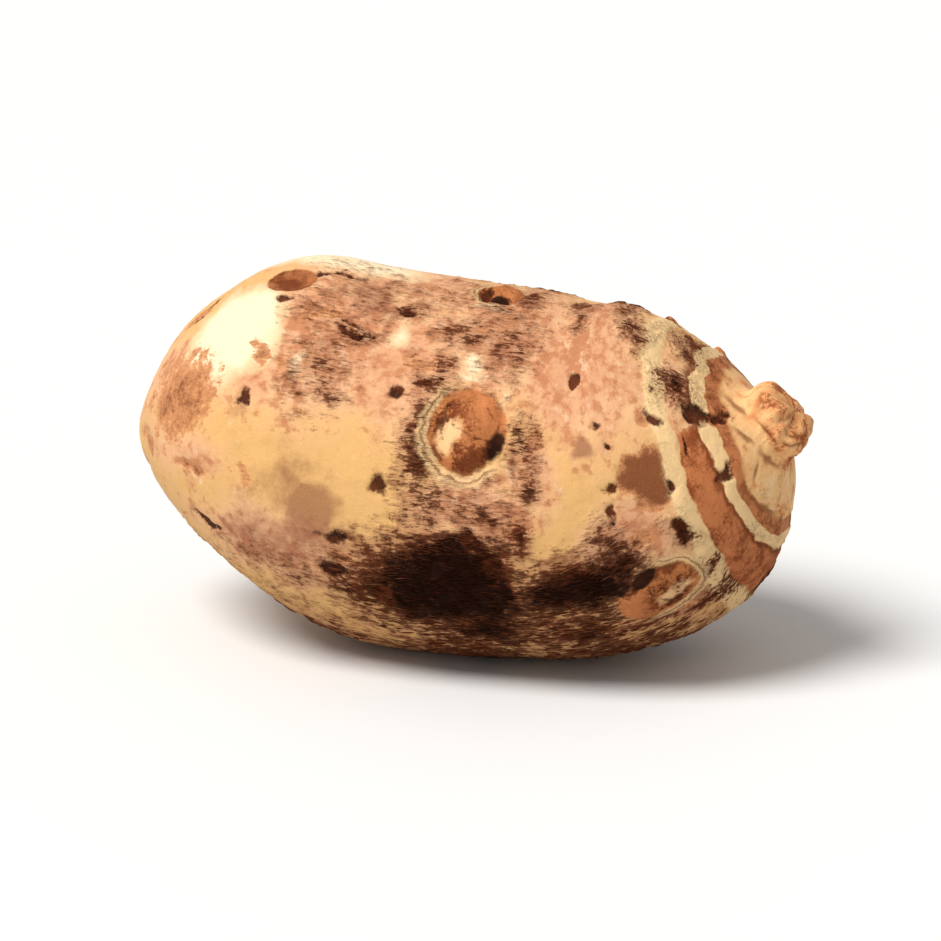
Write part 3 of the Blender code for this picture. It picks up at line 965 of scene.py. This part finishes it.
def skin_material():
    """The corm's skin, from the bare ground colour up to the spots."""
    material, patch = new_material("corm_skin")
    masks = skin_masks(patch)
    where, torn, dashes, grit = masks["where"], masks["torn"], masks["dashes"], masks["grit"]
    noises = {
        "drift": patch.noise(where, 0.07, 4.0, 0.6), "mottle": patch.noise(where, 0.22, 5.0, 0.65),
        "grain": patch.noise(where, 6.5, 2.0, 0.6),
        "freckle": patch.noise(patch.stretched(where, (0.8, 1.0, 1.0), (31.0, 7.0, 5.0)), 0.62, 4.0, 0.6),
        "hairs": patch.noise(patch.stretched(where, (0.13, 1.0, 1.0)), 3.4, 3.0, 0.6),
    }
    darker = patch.read("scab") + torn * 1.5 + grit * 0.5 + dashes * 1.2
    scab = patch.mixed(SCAB_LIGHT, SCAB_DARK, darker.step(0.45, 1.25) * 0.85)
    skin = patch.mixed(ground_colour(patch, masks, noises), scab, masks["scab"] * 0.94)
    skin = bark_colour(patch, masks, noises, skin)
    skin = crown_colour(patch, masks, noises, skin)
    skin = bud_colour(patch, masks, noises, skin)
    spot = patch.mixed(SPOT_BROWN, SPOT_DARK, (noises["mottle"] * 2.0 + grit + 0.4).step(0.1, 0.8))
    skin = patch.mixed(skin, spot, masks["spots"] * 0.98)
    bark = masks["film"]
    rough = bark * 0.22 + grit * 0.3 + 0.56
    height = grit * 0.10 + torn * 0.16 + bark * (dashes * 0.55 + noises["hairs"] * 0.40 + 0.06)
    height = height + masks["scab"] * (grit * 0.12 - 0.05) - masks["spots"] * 0.12
    bumped = patch.add("ShaderNodeBump", None, {"Strength": 1.0, "Distance": MM, "Height": height})
    wires = {"Base Color": skin, "Roughness": rough, "Normal": bumped}
    return finish_material(material, SKIN_SHINE, wires)


corm_skin = skin_material()
print("skin material nodes:", len(corm_skin.node_tree.nodes))

# %% Relief tree
RELIEF = {
    "Bark height": 0.22, "Fibre height": 0.45, "Spot depth": 0.35, "Scab depth": 0.12,
    "Swell": 1.1, "Torn height": 0.25,
}  # millimetres


def relief_tree(material):
    patch, inputs = geometry_tree("corm_relief", RELIEF)
    masks = skin_masks(patch)
    swell = patch.noise(masks["where"], 0.075, 3.0, 0.5)
    bark = masks["film"]
    out = bark * inputs["Bark height"] + bark * masks["dashes"] * inputs["Fibre height"]
    out = out + swell * inputs["Swell"] + masks["torn"] * inputs["Torn height"]
    out = out - masks["spots"] * inputs["Spot depth"] - masks["scab"] * inputs["Scab depth"]
    normal = patch.add("GeometryNodeInputNormal")
    sockets = {0: normal, "Scale": out * MM}
    offset = patch.add("ShaderNodeVectorMath", {"operation": "SCALE"}, sockets)
    moved = patch.add("GeometryNodeSetPosition", None, {"Geometry": inputs["Geometry"], "Offset": offset})
    finish_tree(patch, moved, material)
    return patch


corm.data = made_real(corm, relief_tree(corm_skin), RELIEF)
coordinates = np.empty(len(corm.data.vertices) * 3)
corm.data.vertices.foreach_get("co", coordinates)
corm.data.vertices.foreach_set("co", grounded(coordinates.reshape(-1, 3)).ravel())
corm.data.update()
print("points after the relief:", len(corm.data.vertices))

# %% [markdown]
# ## Bark flakes
#
# The bark is old leaf bases worn down to short flat fibres that lie along the corm. There are
# thousands, so each has only a few faces: a bent line with a flat four-sided section that tapers to
# both ends. Geometry Nodes scatter them where the bark is thick, lay them along the stored grain with
# a little disorder, and give each its own size.

# %% Flake material
FLAKE_SHINE = 0.05


def flake_material():
    """Brown fibre, paler in places and near black where the bark is thickest."""
    material, patch = new_material("bark_flake")
    shade = patch.noise(patch.read("place", vector=True), 1.6, 3.0, 0.6)
    fine = patch.noise(patch.add("ShaderNodeTexCoord", output=3), 900.0, 2.0, 0.6)
    thick = patch.read("bark")
    tint = patch.layered(FILM_BROWN, [
        (FIBRE_BROWN, (shade * 2.4 + fine + thick * 0.8 - 0.25).step(0.0, 0.7)),
        (PALE_THREAD, (shade * -2.0 + fine - thick * 0.5).step(-0.3, 0.3) * 0.5),
        # near black where the bark field is strongest, which on the belly is partly painted shade
        (CRUST_BLACK, (thick + shade * 1.6).step(1.15, 1.6) * 0.85),
    ])
    return finish_material(material, FLAKE_SHINE, {"Base Color": tint, "Roughness": fine * 0.3 + 0.8})


bark_flake = flake_material()
print("flake material nodes:", len(bark_flake.node_tree.nodes))

# %% Flake tree
FLAKES = {
    "Per square metre": 1500000.0, "Length": 2.0, "Width": 0.15, "Flatness": 0.4, "Lift": 0.08,
    "Disorder": 0.35,
}  # millimetres, but for the first, the flatness (a share) and the disorder (radians)
FLAKE_SEED = 7
FLAKE_BOW = 0.08  # a share of half its length
TIP_TAPER = 0.75
SHORTEST = 0.35
LONGEST = 1.3


def one_flake(patch, inputs):
    """A short flat strip with tapered ends, lying along X with Z up, and closed all round."""
    half = inputs["Length"] * (0.5 * MM)
    start = patch.add("ShaderNodeCombineXYZ", None, {0: half * -1.0})
    middle = patch.add("ShaderNodeCombineXYZ", None, {1: half * FLAKE_BOW, 2: inputs["Lift"] * (2 * MM)})
    end = patch.add("ShaderNodeCombineXYZ", None, {0: half})
    sockets = {"Resolution": 4, "Start": start, "Middle": middle, "End": end}
    line = patch.add("GeometryNodeCurveQuadraticBezier", None, sockets)
    share = patch.add("GeometryNodeSplineParameter")
    taper = 1.0 - abs(share * 2.0 - 1.0) * TIP_TAPER
    sockets = {"Resolution": 4, "Radius": inputs["Width"] * MM}
    section = patch.add("GeometryNodeCurvePrimitiveCircle", None, sockets)
    squash = patch.add("ShaderNodeCombineXYZ", None, {0: inputs["Flatness"], 1: 1.0, 2: 1.0})
    section = patch.add("GeometryNodeTransform", None, {"Geometry": section, "Scale": squash})
    sockets = {"Curve": line, "Profile Curve": section, "Scale": taper, "Fill Caps": True}
    return patch.add("GeometryNodeCurveToMesh", None, sockets)


def flake_tree(material):
    patch, inputs = geometry_tree("bark_flakes", FLAKES)
    masks = skin_masks(patch)
    bare = patch.read("bud").step(1.1, 1.5) * masks["level"].step(4.0, 3.6) * (1.0 - masks["rings"] * 0.9)
    thick = (patch.read("bark") + masks["torn"] * 1.15).step(0.6, 1.3)
    height = patch.add("ShaderNodeSeparateXYZ", None, {0: patch.add("GeometryNodeInputPosition")}, output=2)
    density = thick * bare * inputs["Per square metre"] * height.step(1.5 * MM, 3.0 * MM)
    sockets = {"Mesh": inputs["Geometry"], "Density": density, "Seed": FLAKE_SEED}
    scattered = patch.add("GeometryNodeDistributePointsOnFaces", {"distribute_method": "RANDOM"}, sockets)
    normal = Wire(patch, scattered.socket.node.outputs["Normal"])
    sockets = {"Primary Axis": normal, "Secondary Axis": patch.read("grain", vector=True)}
    laid = patch.add("FunctionNodeAxesToRotation", {"primary_axis": "Z", "secondary_axis": "X"}, sockets)
    sockets = {2: inputs["Disorder"] * -1.0, 3: inputs["Disorder"], "Seed": FLAKE_SEED + 1}
    astray = patch.add("FunctionNodeRandomValue", {"data_type": "FLOAT"}, sockets, output=1)
    sideways = patch.add("ShaderNodeCombineXYZ", None, {2: astray})
    turned = patch.add("FunctionNodeEulerToRotation", None, {0: sideways})
    rotation = patch.add("FunctionNodeRotateRotation", {"rotation_space": "LOCAL"}, {0: laid, 1: turned})
    sockets = {2: SHORTEST, 3: LONGEST, "Seed": FLAKE_SEED + 2}
    grown = patch.add("FunctionNodeRandomValue", {"data_type": "FLOAT"}, sockets, output=1)
    scale = patch.add("ShaderNodeCombineXYZ", None, {0: grown, 1: grown * 0.5 + 0.5, 2: 1.0})
    flake = one_flake(patch, inputs)
    sockets = {"Points": scattered, "Instance": flake, "Rotation": rotation, "Scale": scale}
    finish_tree(patch, patch.add("GeometryNodeInstanceOnPoints", None, sockets), material)
    return patch


flakes = bpy.data.objects.new("bark_flakes", corm.data.copy())
bpy.context.scene.collection.objects.link(flakes)
flakes.data = made_real(flakes, flake_tree(bark_flake), FLAKES)
print("flake triangles:", sum(len(face.vertices) - 2 for face in flakes.data.polygons))

# %% [markdown]
# ## Joining the frame
#
# Both pieces ride on the corm's one body. The surface stands for the packed
# solid, which stays in the simulation only.

# %% Ride and replace
for piece in (corm, flakes):
    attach(piece, "root")
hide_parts("corm")
